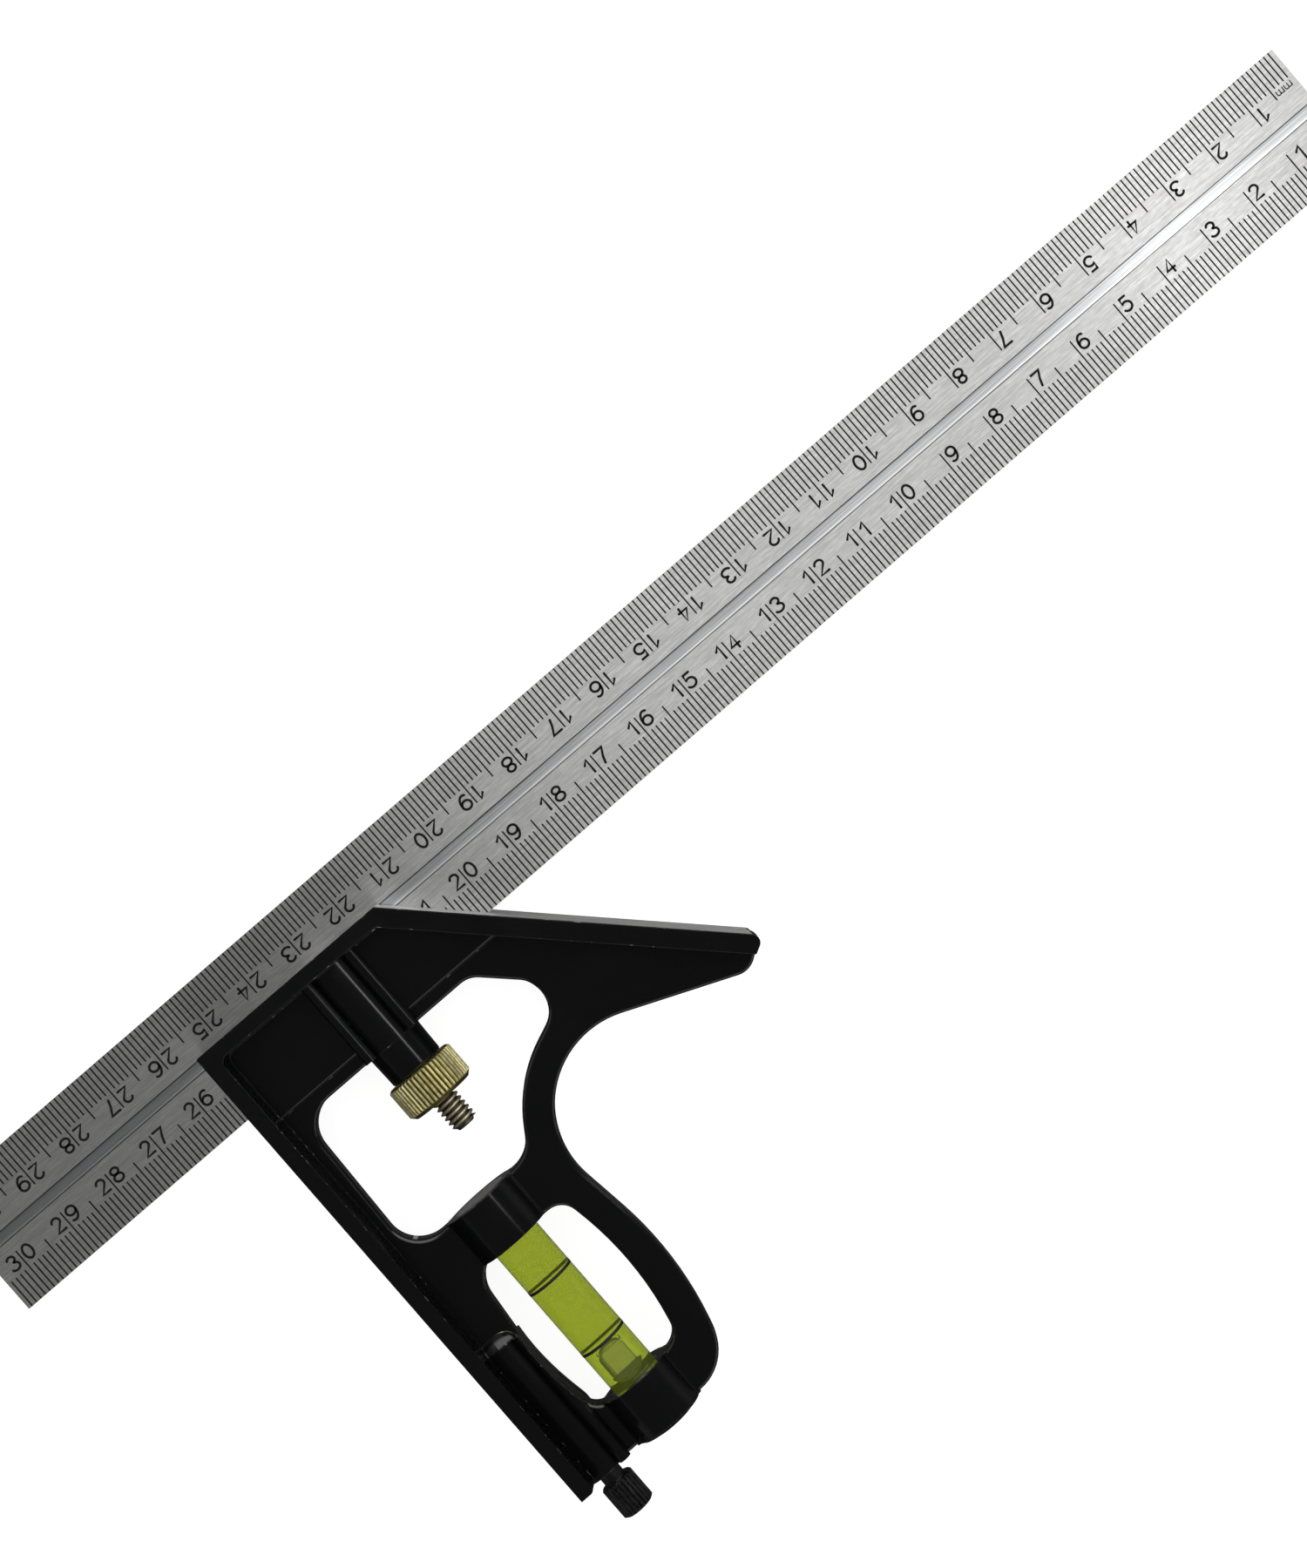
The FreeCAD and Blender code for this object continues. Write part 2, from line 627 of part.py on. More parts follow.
def main():
    os.makedirs("parts", exist_ok=True)
    nodes = {
        "head_casting": head_casting(),
        "blade": blade(),
        "clamp_bolt": clamp_bolt(),
        "clamp_spring": clamp_spring(),
        "clamp_nut": clamp_nut(),
        "vial_tube": vial_tube(),
        "vial_spirit": vial_spirit(),
        "vial_bubble": bubble_shape(0.0),
        "vial_stopper_inner": vial_stopper(TUBE_TOP, TUBE_TOP - STOPPER_LENGTH),
        "vial_stopper_outer": vial_stopper(TUBE_END + STOPPER_LENGTH, TUBE_END),
        "vial_collar_inner": setting_collar(TUBE_TOP, UPPER_LUG[1] + 0.1),
        "vial_collar_outer": setting_collar(LOWER_LUG[0] - 0.1, TUBE_END),
        "vial_bore_plug": vial_bore_plug(),
        "vial_bore_cap": vial_bore_cap(),
        "scriber_needle": scriber_needle(),
        "scriber_knob": scriber_knob(),
        "scriber_bush": scriber_bush(),
    }
    for name, shape in nodes.items():
        placed = to_part_frame(shape)
        box = placed.BoundBox
        print(
            f"{name}: {len(placed.Solids)} solid, valid {placed.isValid()}, {placed.Volume:.1f} mm3, "
            f"x {box.XMin:.2f} {box.XMax:.2f}, y {box.YMin:.2f} {box.YMax:.2f}, "
            f"z {box.ZMin:.2f} {box.ZMax:.2f}"
        )
        placed.exportStep(f"parts/{name}.step")


main()
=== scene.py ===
import math

import bpy
import numpy as np
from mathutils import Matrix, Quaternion, Vector


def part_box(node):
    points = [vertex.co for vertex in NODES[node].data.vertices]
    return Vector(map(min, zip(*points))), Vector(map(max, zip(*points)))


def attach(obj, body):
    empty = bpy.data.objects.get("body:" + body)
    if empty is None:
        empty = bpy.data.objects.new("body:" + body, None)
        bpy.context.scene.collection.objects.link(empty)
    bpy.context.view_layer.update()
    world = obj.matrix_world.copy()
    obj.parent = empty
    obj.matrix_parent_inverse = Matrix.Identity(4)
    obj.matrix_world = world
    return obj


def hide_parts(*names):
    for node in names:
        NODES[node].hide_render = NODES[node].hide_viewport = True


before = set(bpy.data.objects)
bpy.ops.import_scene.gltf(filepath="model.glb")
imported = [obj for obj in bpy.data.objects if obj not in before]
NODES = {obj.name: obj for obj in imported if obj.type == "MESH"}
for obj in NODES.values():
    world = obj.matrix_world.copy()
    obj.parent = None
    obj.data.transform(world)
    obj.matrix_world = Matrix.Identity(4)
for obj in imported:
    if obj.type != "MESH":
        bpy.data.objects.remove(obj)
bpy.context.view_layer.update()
SCENE = bpy.context.scene
MM = 0.001

CAMERA_PLACE = (-0.02304, 0.04526, 0.46166)             # metres
CAMERA_TURN = (0.0167222633, 0.031657509, 0.712117743)  # axis times angle in radians


def corners_of(node):
    """A CAD node's lowest and highest corner, in millimetres to the nearest micrometre."""
    return [np.round(np.array(corner, float) / MM, 3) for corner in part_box(node)]


# Millimetres from here on, with places in the part's frame.
(_, BLADE_NEAR, BLADE_BACK), (BLADE_RIGHT, BLADE_FAR, BLADE_TOP) = corners_of("blade")
(HEAD_LEFT, _, _), (_, HEAD_TOP_EDGE, _) = corners_of("head_casting")
GROOVE_LOW, GROOVE_HIGH = 46.5, 48.7    # the groove's two walls, along Y
LUG_RADIUS = 7.0                        # the bosses that hold the vial
LUG_TOP, LUG_FOOT = -0.85, -51.2        # the outward ends of the inner and the outer lug, along Y
VIAL_LINES = {"inner": -19.45, "outer": -33.4}
VIAL_LINE_WIDTH = 0.54
TUBE_BORE_RADIUS = 3.45

TICK_WIDTH, TICK_SHORT, TICK_HALF, TICK_LONG = 0.27, 5.55, 7.35, 9.05
TICK_INSET = 0.03                       # from the blade's edge to the lines
DIGIT_FOOT, DIGIT_HEIGHT, DIGIT_PEN = 6.15, 3.02, 0.44
UNIT_FOOT, UNIT_HEIGHT, UNIT_WIDTH, UNIT_PEN = 6.0, 1.1, 1.6, 0.2
INK_UNDER, INK_OVER = 0.01, 0.012       # how far the ink reaches into and above the steel

# Refractive indices as the rays meet them, against a spirit of 1.36 that is itself drawn as 1.0
TUBE_INDEX, BORE_INDEX, SPIRIT_INDEX, BUBBLE_INDEX = 1.49, 1.0956, 1.0, 0.735


# ---------------------------------------------------------------- camera
def add_camera():
    """Nearly straight above the square, turned so that the blade runs up to the right."""
    turn = Vector(CAMERA_TURN)
    view = Quaternion(turn.normalized(), turn.length).to_matrix().transposed()
    data = bpy.data.cameras.new("camera")
    data.lens, data.sensor_width = 60, 36
    data.clip_start = 0.01
    camera = bpy.data.objects.new("camera", data)
    camera.matrix_world = view.to_4x4()
    camera.location = CAMERA_PLACE
    SCENE.collection.objects.link(camera)
    SCENE.camera = camera


# ---------------------------------------------------------------- node helpers
def axis_of(node):
    """(x, z) in metres of the axis along Y of a round CAD node."""
    low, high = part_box(node)
    return (low.x + high.x) / 2, (low.z + high.z) / 2


class Material:
    """A node material with one Principled shader and short calls for the nodes that feed it."""

    def __init__(self, name, color=(0.5, 0.5, 0.5), metallic=0.0, roughness=0.5, **sockets):
        self.mat = bpy.data.materials.new(name)
        self.mat.use_nodes = True
        self.tree = self.mat.node_tree
        self.tree.nodes.clear()
        self.out = self.tree.nodes.new("ShaderNodeOutputMaterial")
        self.bsdf = self.tree.nodes.new("ShaderNodeBsdfPrincipled")
        self.join(self.bsdf.outputs[0], self.out.inputs["Surface"])
        self.bsdf.inputs["Base Color"].default_value = (*color, 1)
        self.bsdf.inputs["Metallic"].default_value = metallic
        self.bsdf.inputs["Roughness"].default_value = roughness
        for key, value in sockets.items():
            self.bsdf.inputs[key.replace("_", " ")].default_value = value
        self.coordinates = self.new("ShaderNodeTexCoord").outputs["Object"]

    def new(self, kind, **settings):
        node = self.tree.nodes.new(kind)
        for key, value in settings.items():
            setattr(node, key, value)
        return node

    def join(self, a, b):
        self.tree.links.new(a, b)

    def feed(self, socket, value):
        if isinstance(value, (int, float, tuple)):
            if isinstance(value, tuple) and len(value) == 3 and socket.type == "RGBA":
                value = (*value, 1)
            socket.default_value = value
        else:
            self.join(value, socket)

    def math(self, operation, a, b=0.0):
        node = self.new("ShaderNodeMath", operation=operation)
        self.feed(node.inputs[0], a)
        self.feed(node.inputs[1], b)
        return node.outputs[0]

    def noise(self, size, detail=3.0, stretch=(1, 1, 1), roughness=0.5, offset=(0, 0, 0)):
        """Noise from 0 to 1 whose features are about size metres, times stretch along each axis."""
        place = self.new("ShaderNodeMapping")
        self.join(self.coordinates, place.inputs["Vector"])
        place.inputs["Scale"].default_value = [1 / (size * s) for s in stretch]
        place.inputs["Location"].default_value = offset
        node = self.new("ShaderNodeTexNoise")
        self.join(place.outputs[0], node.inputs["Vector"])
        node.inputs["Scale"].default_value = 1
        node.inputs["Detail"].default_value = detail
        node.inputs["Roughness"].default_value = roughness
        return node.outputs[0]

    def spread(self, value, low, high, to_low=0.0, to_high=1.0):
        """value mapped smoothly from low..high to to_low..to_high, and held outside."""
        node = self.new("ShaderNodeMapRange", interpolation_type="SMOOTHSTEP")
        self.feed(node.inputs["Value"], value)
        for key, number in (("From Min", low), ("From Max", high), ("To Min", to_low), ("To Max", to_high)):
            node.inputs[key].default_value = number
        return node.outputs[0]

    def mix(self, amount, a, b):
        node = self.new("ShaderNodeMix", data_type="RGBA")
        self.feed(node.inputs["Factor"], amount)
        sockets = [s for s in node.inputs if s.type == "RGBA"]
        self.feed(sockets[0], a)
        self.feed(sockets[1], b)
        return [s for s in node.outputs if s.type == "RGBA"][0]

    def bump(self, height, distance, normal=None):
        node = self.new("ShaderNodeBump")
        self.feed(node.inputs["Height"], height)
        node.inputs["Distance"].default_value = distance
        node.inputs["Strength"].default_value = 1.0
        if normal is not None:
            self.join(normal, node.inputs["Normal"])
        return node.outputs[0]

    def rounded(self, radius):
        """The normal with its sharp edges rounded to that radius."""
        node = self.new("ShaderNodeBevel", samples=4)
        node.inputs["Radius"].default_value = radius
        return node.outputs[0]

    def edges(self, radius):
        """1 within radius of a sharp edge, 0 on the open faces."""
        product = self.new("ShaderNodeVectorMath", operation="DOT_PRODUCT")
        self.join(self.rounded(radius), product.inputs[0])
        self.join(self.new("ShaderNodeNewGeometry").outputs["Normal"], product.inputs[1])
        return self.spread(product.outputs["Value"], 0.86, 0.99, 1.0, 0.0)

    def radius_from(self, x, z):
        """Distance in metres from an axis along Y through (x, z)."""
        part = self.new("ShaderNodeSeparateXYZ")
        self.join(self.coordinates, part.inputs[0])
        dx = self.math("SUBTRACT", part.outputs["X"], x)
        dz = self.math("SUBTRACT", part.outputs["Z"], z)
        squares = self.math("ADD", self.math("MULTIPLY", dx, dx), self.math("MULTIPLY", dz, dz))
        return self.math("SQRT", squares)

    def use(self, **values):
        for key, value in values.items():
            self.feed(self.bsdf.inputs[key.replace("_", " ")], value)


def gray(level, tint=(1, 1, 1)):
    return tuple(level * t for t in tint)


# ---------------------------------------------------------------- materials
def head_paint(name, flat=False):
    """Glossy black paint, chipped along its edges. flat takes each face's own normal, for the top
    edge, where the rounded normal shades a wedge that isn't there."""
    m = Material(name, roughness=0.14, IOR=1.5)
    cloud = m.noise(14 * MM, 2)
    paint = m.mix(cloud, (0.0024, 0.0026, 0.0030), (0.0034, 0.0036, 0.0041))
    edge = m.edges(0.28 * MM)
    chips = m.math("MULTIPLY", edge, m.spread(m.noise(1.6 * MM, 5, roughness=0.65), 0.585, 0.645))
    dust = m.spread(m.noise(0.3 * MM, 2, offset=(3, 1, 2)), 0.70, 0.78, 0, 0.5)
    color = m.mix(dust, paint, (0.02, 0.02, 0.021))
    color = m.mix(chips, color, (0.42, 0.41, 0.39))
    facing = m.new("ShaderNodeNewGeometry").outputs["True Normal"] if flat else m.rounded(0.25 * MM)
    peel = m.bump(m.noise(0.9 * MM, 2), 0.004 * MM, facing)
    grain = m.bump(m.noise(0.22 * MM, 2), 0.0012 * MM, peel)
    rough = m.spread(m.noise(9 * MM, 3, offset=(5, 5, 5)), 0.3, 0.7, 0.12, 0.17)
    m.use(Base_Color=color, Metallic=m.math("MULTIPLY", chips, 0.8), Roughness=rough, Normal=grain)
    return m.mat


def bare_metal(name, level, along, metallic=1.0):
    """A milled face with fine lines along one axis, stained and lightly scratched."""
    m = Material(name, metallic=metallic, roughness=0.35)
    stretch = tuple(60 if axis == along else 1 for axis in range(3))
    lines = m.noise(0.12 * MM, 3, stretch)
    stain = m.noise(4 * MM, 4, offset=(1, 7, 3))
    color = m.mix(lines, gray(level * 0.8), gray(level))
    color = m.mix(m.spread(stain, 0.45, 0.75, 0, 0.5), color, gray(level * 0.45, (1, 0.95, 0.85)))
    rough = m.spread(stain, 0.3, 0.7, 0.28, 0.48)
    m.use(Base_Color=color, Roughness=rough, Normal=m.bump(lines, 0.004 * MM))
    return m.mat


def blade_steel():
    """Rolled and brushed along X, so the highlight spreads across the blade."""
    m = Material("blade_steel", metallic=1.0, roughness=0.39, Anisotropic=0.95)
    across = m.new("ShaderNodeCombineXYZ")
    across.inputs["Y"].default_value = 1.0
    m.join(across.outputs[0], m.bsdf.inputs["Tangent"])
    streaks = m.noise(0.16 * MM, 3, (30, 1, 1))
    mottle = m.noise(0.55 * MM, 3, (3, 1, 1), 0.6, (2, 2, 0))
    cloud = m.noise(9 * MM, 3, (2, 1, 1), offset=(4, 0, 0))
    color = m.mix(m.spread(streaks, 0.3, 0.7), gray(0.50), gray(0.70, (1, 1, 0.99)))
    color = m.mix(m.spread(mottle, 0.35, 0.65, 0, 0.3), color, gray(0.40))
    color = m.mix(m.spread(cloud, 0.4, 0.7, 0, 0.12), color, gray(0.5, (1, 0.97, 0.92)))
    scratch = m.noise(0.05 * MM, 1, (90, 1, 1), offset=(8, 3, 1))
    normal = m.bump(scratch, 0.002 * MM, m.bump(streaks, 0.003 * MM))
    m.use(Base_Color=color, Roughness=m.spread(mottle, 0.3, 0.7, 0.36, 0.42), Normal=normal)
    return m.mat


def blade_groove():
    """The groove's steel, with painted shade in both corners and a painted highlight along its floor."""
    m = Material("blade_groove", metallic=1.0, roughness=0.32, Anisotropic=0.8)
    across = m.new("ShaderNodeCombineXYZ")
    across.inputs["Y"].default_value = 1.0
    m.join(across.outputs[0], m.bsdf.inputs["Tangent"])
    lines = m.noise(0.16 * MM, 2, (200, 1, 1))
    wear = m.noise(1.2 * MM, 4, (6, 1, 1), 0.6, (3, 1, 0))
    cool = (0.97, 1.0, 1.02)
    color = m.mix(m.spread(lines, 0.35, 0.65), gray(0.50, cool), gray(0.74, cool))
    color = m.mix(m.spread(wear, 0.45, 0.7, 0, 0.25), color, gray(0.42))
    part = m.new("ShaderNodeSeparateXYZ")
    m.join(m.coordinates, part.inputs[0])
    y = part.outputs["Y"]

    def rise(low, high):
        return m.spread(y, low * MM, high * MM)

    def fall(low, high):
        return m.spread(y, low * MM, high * MM, 1, 0)

    # painted shade: both corners of the groove darkened to 0.07
    corners = m.math(
        "MAXIMUM", fall(GROOVE_LOW + 0.10, GROOVE_LOW + 0.20), rise(GROOVE_HIGH - 0.20, GROOVE_HIGH - 0.10)
    )
    # painted highlight: a bright line of 0.98 along the floor beside the low wall
    painted_floor_highlight = m.math(
        "MULTIPLY", rise(GROOVE_LOW + 0.18, GROOVE_LOW + 0.26), fall(GROOVE_LOW + 0.46, GROOVE_LOW + 0.56)
    )
    color = m.mix(painted_floor_highlight, color, gray(0.98))
    color = m.mix(corners, color, gray(0.07))
    m.use(Base_Color=color, Normal=m.bump(lines, 0.002 * MM, m.rounded(0.16 * MM)))
    return m.mat


def ink():
    m = Material("ink", roughness=0.55, Specular_IOR_Level=0.12)
    worn = m.noise(0.5 * MM, 3)
    m.use(Base_Color=m.mix(worn, gray(0.004), gray(0.016)))
    m.use(Roughness=m.spread(worn, 0.3, 0.7, 0.5, 0.65), Normal=m.bump(worn, 0.002 * MM))
    return m.mat


def nut_brass():
    m = Material("nut_brass", metallic=0.9, roughness=0.38)
    far = m.radius_from(*axis_of("clamp_nut"))
    # crest is 1 on the flutes' tops; the gaps between them take a painted shade of dark brown (dark)
    crest = m.spread(far, 6.3 * MM, 6.68 * MM)
    grime = m.noise(0.8 * MM, 4, roughness=0.6)
    brass = m.mix(m.spread(grime, 0.35, 0.65), (0.80, 0.70, 0.28), (1.0, 0.95, 0.55))
    dark = m.mix(grime, (0.05, 0.038, 0.006), (0.18, 0.15, 0.045))
    side = m.mix(crest, dark, brass)
    inner = m.spread(far, 5.2 * MM, 5.6 * MM, 1.0, 0.0)
    m.use(Base_Color=m.mix(inner, side, brass), Roughness=m.spread(grime, 0.3, 0.7, 0.30, 0.46))
    m.use(Normal=m.bump(grime, 0.01 * MM, m.rounded(0.08 * MM)))
    return m.mat


def bolt_steel():
    m = Material("bolt_steel", metallic=1.0, roughness=0.35)
    far = m.radius_from(*axis_of("clamp_nut"))
    grime = m.noise(0.5 * MM, 4, roughness=0.6)
    crest = m.spread(far, 1.9 * MM, 2.4 * MM)
    # painted shade: the thread roots, inside the crest radius, are dark brown; the crests and head are pale
    # steel
    color = m.mix(crest, (0.16, 0.135, 0.095), (0.80, 0.75, 0.60))
    color = m.mix(m.spread(grime, 0.5, 0.75, 0, 0.6), color, (0.34, 0.26, 0.15))
    m.use(Base_Color=color, Roughness=m.spread(grime, 0.3, 0.7, 0.3, 0.5))
    m.use(Normal=m.bump(grime, 0.006 * MM, m.rounded(0.06 * MM)))
    return m.mat


def plain_metal(name, color, roughness=0.35):
    m = Material(name, metallic=1.0, roughness=roughness)
    grime = m.noise(0.6 * MM, 4, roughness=0.6)
    dark = tuple(c * 0.55 for c in color)
    m.use(Base_Color=m.mix(m.spread(grime, 0.4, 0.75), color, dark))
    m.use(Roughness=m.spread(grime, 0.3, 0.7, roughness * 0.8, roughness * 1.3))
    m.use(Normal=m.bump(grime, 0.004 * MM, m.rounded(0.06 * MM)))
    return m.mat


def black_part(name, level, roughness, dust=0.2):
    """Black plastic or lacquer with a little dust and rubbed edges."""
    m = Material(name, roughness=roughness, IOR=1.5)
    cloud = m.noise(1.2 * MM, 4)
    specks = m.spread(m.noise(0.18 * MM, 2, offset=(1, 2, 3)), 0.64, 0.74, 0, dust)
    color = m.mix(cloud, gray(level * 0.7), gray(level * 1.3, (1, 1, 1.05)))
    color = m.mix(specks, color, gray(0.05))
    rub = m.math("MULTIPLY", m.edges(0.12 * MM), m.spread(m.noise(0.7 * MM, 4), 0.5, 0.62, 0, 0.8))
    m.use(Base_Color=m.mix(rub, color, gray(0.09)))
    m.use(Roughness=m.spread(cloud, 0.3, 0.7, roughness, roughness + 0.14))
    m.use(Normal=m.bump(m.noise(0.25 * MM, 2), 0.002 * MM, m.rounded(0.08 * MM)))
    return m.mat


def matt_part(name, light, dark, roughness=0.6):
    m = Material(name, roughness=roughness)
    cloud = m.noise(0.7 * MM, 4)
    m.use(Base_Color=m.mix(cloud, dark, light), Normal=m.bump(cloud, 0.01 * MM))
    return m.mat


def clear_tube(name, ior):
    m = Material(name, (0.97, 0.985, 0.93), roughness=0.02, IOR=ior, Transmission_Weight=1.0)
    haze = m.noise(2 * MM, 3)
    m.use(Roughness=m.spread(haze, 0.45, 0.8, 0.01, 0.05))
    return m.mat


def spirit():
    """Dyed spirit: it tints what is behind it, and a painted glow, a weak yellow-green emission, lightens it
    a little.
    """
    m = Material("vial_spirit_dye", roughness=0.0, IOR=SPIRIT_INDEX, Transmission_Weight=1.0)
    cloud = m.noise(3 * MM, 2)
    m.use(Base_Color=m.mix(cloud, (0.245, 0.295, 0.021), (0.28, 0.33, 0.027)))
    # painted glow: the spirit gives off a little light of its own
    m.use(Emission_Color=(0.73, 0.85, 0.12), Emission_Strength=0.04)
    return m.mat


def air():
    """The bubble: pale where its surface faces up or down, with a painted dark rim where it faces sideways
    and a painted glow.
    """
    m = Material("vial_air", roughness=0.0, IOR=BUBBLE_INDEX, Transmission_Weight=1.0)
    part = m.new("ShaderNodeSeparateXYZ")
    m.join(m.new("ShaderNodeNewGeometry").outputs["Normal"], part.inputs[0])
    # painted shade: the bubble's outline darkened where its surface turns sideways
    painted_rim_shade = m.spread(m.math("ABSOLUTE", part.outputs["Z"]), 0.2, 0.42, 1, 0)
    body = m.mix(m.noise(2 * MM, 2), (0.58, 0.57, 0.95), (0.68, 0.64, 0.98))
    m.use(Base_Color=m.mix(painted_rim_shade, body, (0.06, 0.10, 0.05)))
    # painted glow: a faint bluish-white emission
    m.use(Emission_Color=(0.9, 0.95, 1.0), Emission_Strength=0.045)
    return m.mat


# ---------------------------------------------------------------- CAD nodes' finishes
def faces_of(obj):
    """Each face's centre in millimetres and its normal, as rows."""
    count = len(obj.data.polygons)
    centre, normal = np.empty(count * 3), np.empty(count * 3)
    obj.data.polygons.foreach_get("center", centre)
    obj.data.polygons.foreach_get("normal", normal)
    return centre.reshape(-1, 3) / MM, normal.reshape(-1, 3)


def finish_node(name, materials, chosen=()):
    """Gives a CAD node its materials: the first everywhere, then each other one on its chosen faces."""
    obj = NODES[name]
    obj.data.materials.clear()
    for material in materials:
        obj.data.materials.append(material)
    index = np.zeros(len(obj.data.polygons), dtype=np.int32)
    for slot, mask in enumerate(chosen, 1):
        index[mask] = slot
    obj.data.polygons.foreach_set("material_index", index)
    obj.data.update()


def from_vial(centre):
    """Each face's distance in millimetres from the vial's axis."""
    x, z = axis_of("vial_tube")
    return np.hypot(centre[:, 0] - x / MM, centre[:, 2] - z / MM)


def finish_head():
    centre, normal = faces_of(NODES["head_casting"])
    mitre = (normal[:, 0] > 0.69) & (normal[:, 1] > 0.69)
    square = (normal[:, 0] < -0.999) & (centre[:, 0] < HEAD_LEFT + 0.1)
    near = from_vial(centre) < LUG_RADIUS + 0.2
    outward = (centre[:, 1] > LUG_TOP - 0.1) | (centre[:, 1] < LUG_FOOT + 0.2)
    ends = near & (np.abs(normal[:, 1]) > 0.999) & outward
    top_edge = (normal[:, 1] > 0.999) & (centre[:, 1] > HEAD_TOP_EDGE - 0.05)
    materials = [
        head_paint("head_paint"),
        bare_metal("mitre_face", 0.5, 2, 0.4),
        bare_metal("square_face", 0.6, 1),
        bare_metal("lug_end", 0.22, 0),
        head_paint("head_paint_flat", flat=True),
    ]
    finish_node("head_casting", materials, [mitre, square, ends, top_edge])


def finish_blade():
    centre = faces_of(NODES["blade"])[0]
    inside = (centre[:, 2] < BLADE_TOP - 0.05) & (centre[:, 2] > BLADE_BACK + 0.05)
    groove = inside & (np.abs(centre[:, 1] - (GROOVE_LOW + GROOVE_HIGH) / 2) < 2.5)
    finish_node("blade", [blade_steel(), blade_groove()], [groove])


def finish_tube():
    centre, normal = faces_of(NODES["vial_tube"])
    bore = (from_vial(centre) < TUBE_BORE_RADIUS + 0.15) & (np.abs(normal[:, 1]) < 0.5)
    finish_node(
        "vial_tube", [clear_tube("vial_clear", TUBE_INDEX), clear_tube("vial_clear_bore", BORE_INDEX)], [bore]
    )


def finish_nodes():
    finish_head()
    finish_blade()
    finish_tube()
    finish_node("clamp_nut", [nut_brass()])
    finish_node("clamp_bolt", [bolt_steel()])
    finish_node("clamp_spring", [plain_metal("spring_steel", (0.5, 0.5, 0.5))])
    finish_node("scriber_needle", [plain_metal("needle_steel", (0.6, 0.6, 0.6), 0.25)])
    finish_node("scriber_bush", [plain_metal("bush_brass", (0.70, 0.52, 0.2))])
    finish_node("vial_bore_plug", [plain_metal("plug_metal", (0.55, 0.54, 0.52), 0.45)])
    finish_node("scriber_knob", [black_part("knob_paint", 0.0025, 0.26)])
    finish_node("vial_bore_cap", [black_part("cap_plastic", 0.002, 0.2)])
    finish_node("vial_stopper_inner", [matt_part("stopper_plastic", (0.75, 0.75, 0.7), (0.6, 0.6, 0.55))])
    finish_node("vial_stopper_outer", [NODES["vial_stopper_inner"].data.materials[0]])
    finish_node("vial_collar_inner", [matt_part("collar_putty", (0.03, 0.06, 0.045), (0.012, 0.028, 0.02))])
    finish_node("vial_collar_outer", [NODES["vial_collar_inner"].data.materials[0]])
    finish_node("vial_bubble", [air()])


# ---------------------------------------------------------------- meshes
def add_mesh(name, vertices, faces, material, smooth=False):
    data = bpy.data.meshes.new(name)
    data.from_pydata([tuple(v) for v in vertices], [], [tuple(f) for f in faces])
    data.validate()
    if smooth:
        data.polygons.foreach_set("use_smooth", [True] * len(data.polygons))
    data.materials.append(material)
    obj = bpy.data.objects.new(name, data)
    SCENE.collection.objects.link(obj)
    return obj


def lathe(name, profile, x, z, material, steps=96):
    """A closed ring or solid turned about an axis along Y; profile is (radius, y) points in order."""
    vertices, faces = [], []
    rows = len(profile)
    for step in range(steps):
        angle = 2 * math.pi * step / steps
        for radius, y in profile:
            vertices.append((x + radius * math.cos(angle), y, z + radius * math.sin(angle)))
    for step in range(steps):
        after = (step + 1) % steps
        for row in range(rows):
            following = (row + 1) % rows
            faces.append((
                step * rows + row, after * rows + row, after * rows + following, step * rows + following
            ))
    return add_mesh(name, vertices, faces, material, smooth=True)


def box_faces(start):
    quads = ((0, 3, 2, 1), (4, 5, 6, 7), (0, 1, 5, 4), (1, 2, 6, 5), (2, 3, 7, 6), (3, 0, 4, 7))
    return [tuple(start + i for i in quad) for quad in quads]


def tick_mesh():
    """One edge's millimetre lines in scale space: s runs from the blade's 0 end, d from its edge."""
    vertices, faces = [], []
    for s in range(1, 305):
        length = TICK_LONG if s % 10 == 0 else TICK_HALF if s % 5 == 0 else TICK_SHORT
        s0, s1 = s - TICK_WIDTH / 2, s + TICK_WIDTH / 2
        faces += box_faces(len(vertices))
        for height in (-INK_UNDER, INK_OVER):
            vertices += [(s0, TICK_INSET, height), (s1, TICK_INSET, height)]
            vertices += [(s1, length, height), (s0, length, height)]
    return vertices, faces


def arc(x, y, across, up, start, end, steps=14):
    angles = [math.radians(start + (end - start) * i / steps) for i in range(steps + 1)]
    return [(x + across * math.cos(a), y + up * math.sin(a)) for a in angles]


def turned_about(strokes):
    return [[(1 - x, 1 - y) for x, y in stroke] for stroke in strokes]


def stroke_shapes():
    """Each figure as pen strokes in a unit box, like the engraved figures on a rule."""
    six = [arc(0.5, 0.31, 0.5, 0.31, 150, -210, 22), [(0.02, 0.40)] + arc(0.62, 0.42, 0.6, 0.58, 170, 62, 10)]
    return {
        "0": [arc(0.5, 0.5, 0.48, 0.5, 90, -270, 26)],
        "1": [[(0.0, 0.72), (0.92, 1.0), (0.92, 0.0)]],
        "2": [arc(0.5, 0.73, 0.46, 0.27, 165, -28) + [(0.0, 0.0), (1.0, 0.0)]],
        "3": [arc(0.47, 0.765, 0.43, 0.235, 155, -90) + arc(0.45, 0.265, 0.53, 0.265, 90, -152)],
        "4": [[(0.72, 0.0), (0.72, 1.0), (0.0, 0.29), (1.0, 0.29)]],
        "5": [[(0.9, 1.0), (0.2, 1.0), (0.08, 0.50)] + arc(0.46, 0.33, 0.54, 0.33, 128, -150)],
        "6": six,
        "7": [[(0.0, 1.0), (1.0, 1.0), (0.55, 0.45), (0.32, 0.0)]],
        "8": [arc(0.5, 0.765, 0.42, 0.235, -90, 270, 22), arc(0.5, 0.265, 0.5, 0.265, 90, -270, 22)],
        "9": turned_about(six),
        "m": [[(0.0, 0.0), (0.0, 1.0)], arc(0.25, 0.72, 0.25, 0.28, 180, 0, 8) + [(0.5, 0.0)],
              arc(0.75, 0.72, 0.25, 0.28, 180, 0, 8) + [(1.0, 0.0)]],
    }


